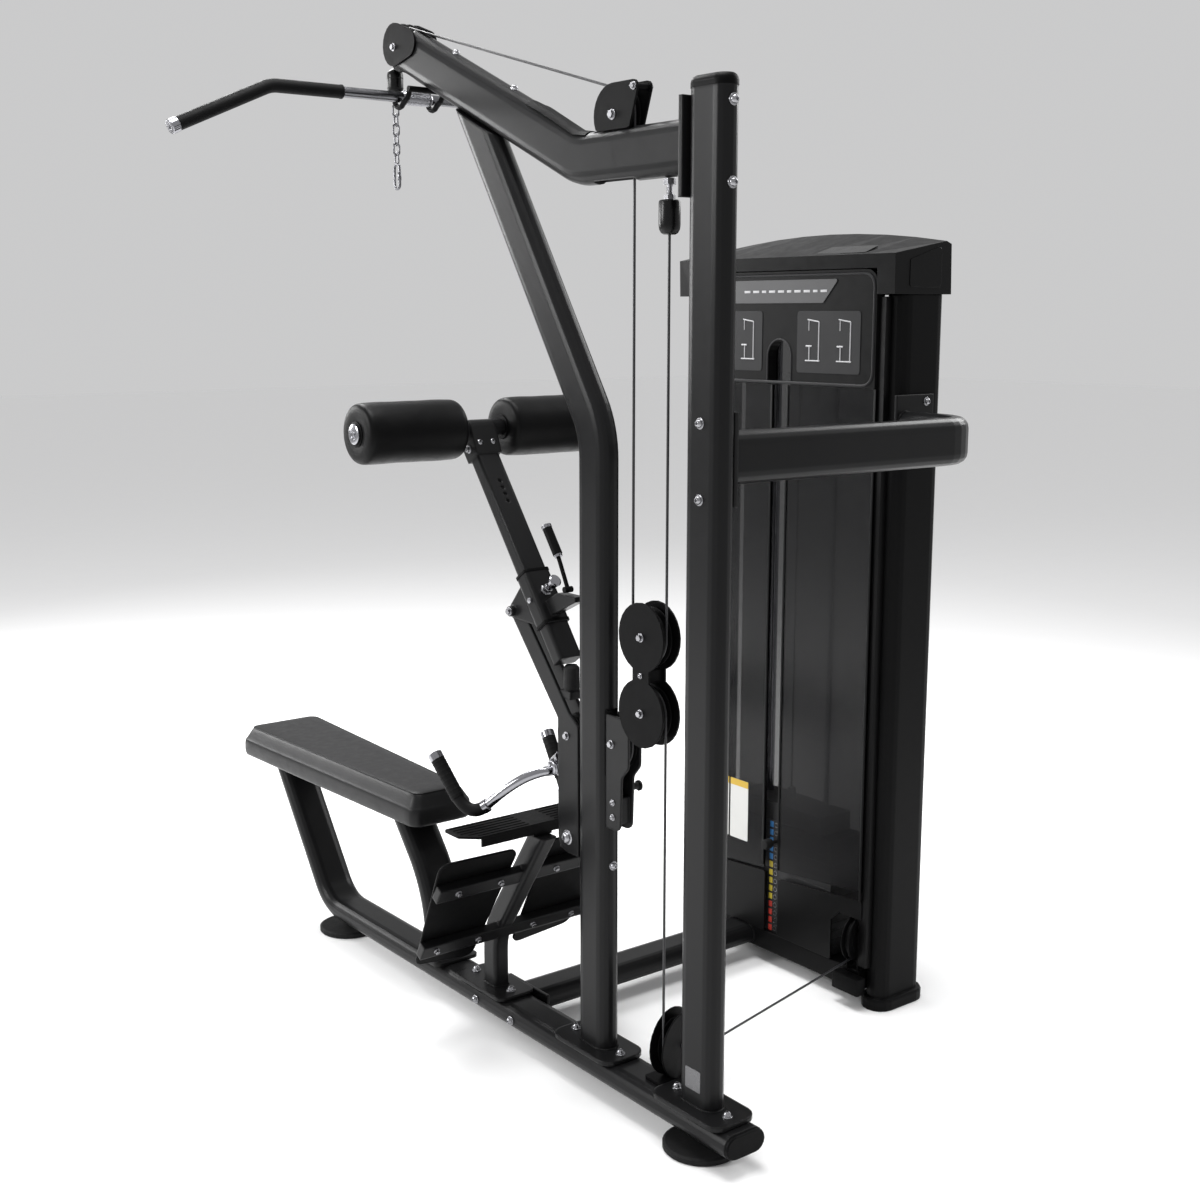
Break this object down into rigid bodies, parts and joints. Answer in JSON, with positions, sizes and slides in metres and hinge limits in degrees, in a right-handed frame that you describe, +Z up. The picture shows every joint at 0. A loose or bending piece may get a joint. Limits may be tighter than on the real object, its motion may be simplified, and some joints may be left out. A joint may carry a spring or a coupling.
{
  "type": "lat pulldown machine",
  "caption": "Combined lat pulldown and low row machine: seat rail, folding thigh rollers, stored pulldown bar on hooks, cable pulleys and a covered weight-stack tower.",
  "frame": {"origin": "centre of the flat underside of the rear rubber foot, on the floor under the rear post", "axes": "+Z up; -Y from the rear post towards the seat; the weight tower stands at -X"},
  "size_m": [1.477, 1.9283, 2.255],
  "materials": {
    "frame": "satin powder coat",
    "black_plastic": "matte",
    "rubber": "matte",
    "chrome": "polished",
    "plate_steel": "satin",
    "smoked_panel": "smoked, partly clear",
    "seat_vinyl": "matte vinyl",
    "cable": "coated steel cable"
  },
  "bodies": {
    "root": {"base_rail": "frame", "rail_end_cap": "black_plastic", "rear_foot": "rubber", "front_foot": "rubber", "rear_post": "frame", "middle_post": "frame", "boom": "frame", "front_pulley_bracket": "black_plastic", "rear_pulley_bracket": "black_plastic", "cable_anchor": "rubber", "bar_hooks": "black_plastic", "seat_pad": "seat_vinyl", "seat_rear_leg": "frame", "foot_rest_frame": "frame", "foot_plate_left": "black_plastic", "foot_plate_right": "black_plastic", "foot_treads": "black_plastic", "thigh_support": "frame", "thigh_buffer": "rubber", "row_pulley_bracket": "frame", "base_pulley_bracket": "black_plastic", "lower_cross_tube": "frame", "upper_arm": "frame", "tower_post_near": "frame", "tower_post_far": "frame", "tower_base": "frame", "top_beam": "frame", "guide_rod_near": "chrome", "guide_rod_far": "chrome", "tower_cap": "black_plastic", "placard": "black_plastic", "shroud_near": "smoked_panel", "shroud_far": "smoked_panel", "rear_shroud": "smoked_panel", "resting_plates": "plate_steel", "lat_cable": "cable", "row_cable": "cable"},
    "front_wheel": {"front_pulley": "black_plastic"},
    "rear_boom_wheel": {"rear_boom_pulley": "black_plastic"},
    "block": {"floating_block": "black_plastic"},
    "block_upper_wheel": {"floating_pulley_upper": "black_plastic"},
    "block_lower_wheel": {"floating_pulley_lower": "black_plastic"},
    "base_wheel": {"base_pulley": "black_plastic"},
    "tower_low_wheel": {"tower_pulley_low": "black_plastic"},
    "top_near_wheel": {"top_pulley_near": "black_plastic"},
    "top_far_wheel": {"top_pulley_far": "black_plastic"},
    "row_rear_wheel": {"row_pulley_rear": "black_plastic"},
    "row_front_wheel": {"row_pulley_front": "black_plastic"},
    "cable_end": {"lat_end_fitting": "rubber"},
    "chain": {"lat_chain": "chrome"},
    "bar": {"lat_bar": "chrome"},
    "handle": {"row_handle": "chrome"},
    "arm_sleeve": {"thigh_sleeve": "frame"},
    "arm_tube": {"thigh_tube": "frame"},
    "right_roller": {"roller_right": "rubber"},
    "left_roller": {"roller_left": "rubber"},
    "lever": {"lock_lever": "black_plastic"},
    "pop_pin": {"height_pin": "chrome"},
    "lifted_stack": {"lifted_plates": "plate_steel"},
    "weight_pin": {"selector_pin": "rubber"}
  },
  "joints": [
    {"name": "weight_lift", "type": "slide", "parent": "root", "child": "lifted_stack", "axis": [0, 0, 1], "range_m": [0, 1], "deforming": ["row_cable"]},
    {"name": "lat_pull", "type": "slide", "parent": "root", "child": "cable_end", "axis": [0, 0, -1], "range_m": [0, 1], "deforming": ["lat_cable"]},
    {"name": "block_lift", "type": "slide", "parent": "root", "child": "block", "axis": [0, 0, 1], "range_m": [0, 0.5]},
    {"name": "front_pulley_spin", "type": "hinge", "parent": "root", "child": "front_wheel", "pos_m": [0, -1.045, 2.203], "axis": [1, 0, 0], "range_deg": [0, 1280]},
    {"name": "rear_boom_pulley_spin", "type": "hinge", "parent": "root", "child": "rear_boom_wheel", "pos_m": [0, -0.267, 1.986], "axis": [1, 0, 0], "range_deg": [0, 1280]},
    {"name": "block_upper_spin", "type": "hinge", "parent": "block", "child": "block_upper_wheel", "pos_m": [0, -0.1708, 1], "axis": [1, 0, 0], "range_deg": [-565, 0]},
    {"name": "block_lower_spin", "type": "hinge", "parent": "block", "child": "block_lower_wheel", "pos_m": [0, -0.1708, 0.848], "axis": [1, 0, 0], "range_deg": [0, 565]},
    {"name": "base_pulley_spin", "type": "hinge", "parent": "root", "child": "base_wheel", "pos_m": [-0.0439, -0.12948, 0.158], "axis": [-0.2195, 0.9756, 0], "range_deg": [-1280, 0]},
    {"name": "tower_pulley_spin", "type": "hinge", "parent": "root", "child": "tower_low_wheel", "pos_m": [-0.735, -0.285, 0.16], "axis": [-0.2195, 0.9756, 0], "range_deg": [-1225, 0]},
    {"name": "top_near_spin", "type": "hinge", "parent": "root", "child": "top_near_wheel", "pos_m": [-0.78085, -0.34032, 1.56], "axis": [1, 0, 0], "range_deg": [-1280, 0]},
    {"name": "top_far_spin", "type": "hinge", "parent": "root", "child": "top_far_wheel", "pos_m": [-0.78085, -0.5115, 1.56], "axis": [1, 0, 0], "range_deg": [-1280, 0]},
    {"name": "row_pull", "type": "slide", "parent": "root", "child": "handle", "axis": [0, -1, 0], "range_m": [0, 0.75]},
    {"name": "row_rear_spin", "type": "hinge", "parent": "root", "child": "row_rear_wheel", "pos_m": [0, -0.27, 0.764], "axis": [1, 0, 0], "range_deg": [-900, 0]},
    {"name": "row_front_spin", "type": "hinge", "parent": "root", "child": "row_front_wheel", "pos_m": [0, -0.418, 0.75], "axis": [1, 0, 0], "range_deg": [-1105, 0]},
    {"name": "chain_swing", "type": "hinge", "parent": "cable_end", "child": "chain", "pos_m": [0, -1.09, 2.11], "axis": [1, 0, 0], "range_deg": [-25, 25]},
    {"name": "bar_lift_off", "type": "slide", "parent": "root", "child": "bar", "axis": [0, -0.8, 0.6], "range_m": [0, 0.05]},
    {"name": "thigh_fold", "type": "hinge", "parent": "root", "child": "arm_sleeve", "pos_m": [0, -0.598, 0.99], "axis": [1, 0, 0], "range_deg": [0, 96]},
    {"name": "thigh_height", "type": "slide", "parent": "arm_sleeve", "child": "arm_tube", "axis": [0, -0.6011, 0.7992], "range_m": [0, 0.069]},
    {"name": "roller_right_spin", "type": "hinge", "parent": "arm_tube", "child": "right_roller", "pos_m": [0, -0.765, 1.371], "axis": [1, 0, 0], "continuous": true},
    {"name": "roller_left_spin", "type": "hinge", "parent": "arm_tube", "child": "left_roller", "pos_m": [0, -0.765, 1.371], "axis": [1, 0, 0], "continuous": true},
    {"name": "lock_lever_tilt", "type": "hinge", "parent": "arm_sleeve", "child": "lever", "pos_m": [0, -0.437, 1.056], "axis": [1, 0, 0], "range_deg": [0, 20], "stiffness_Nm_per_rad": 4, "springref_deg": -8.59},
    {"name": "height_pin_pull", "type": "slide", "parent": "arm_sleeve", "child": "pop_pin", "axis": [0, 0.7992, 0.6011], "range_m": [0, 0.012], "stiffness_N_per_m": 900, "springref_m": -0.006},
    {"name": "selector_pin_pull", "type": "slide", "parent": "lifted_stack", "child": "weight_pin", "axis": [1, 0, 0], "range_m": [0, 0.1]}
  ],
  "couplings": [
    {"joint": "front_pulley_spin", "follows": "weight_lift", "rad_per_m": 22.222},
    {"joint": "rear_boom_pulley_spin", "follows": "weight_lift", "rad_per_m": 22.222},
    {"joint": "block_upper_spin", "follows": "weight_lift", "rad_per_m": -9.7656},
    {"joint": "block_lower_spin", "follows": "weight_lift", "rad_per_m": 9.7656},
    {"joint": "base_pulley_spin", "follows": "weight_lift", "rad_per_m": -22.222},
    {"joint": "tower_pulley_spin", "follows": "weight_lift", "rad_per_m": -21.277},
    {"joint": "top_near_spin", "follows": "weight_lift", "rad_per_m": -22.222},
    {"joint": "top_far_spin", "follows": "weight_lift", "rad_per_m": -22.222},
    {"joint": "row_rear_spin", "follows": "row_pull", "rad_per_m": -20.833},
    {"joint": "row_front_spin", "follows": "row_pull", "rad_per_m": -25.641},
    {"joint": "lat_pull", "follows": "weight_lift", "ratio": 1},
    {"joint": "block_lift", "follows": "weight_lift", "ratio": 0.5}
  ]
}
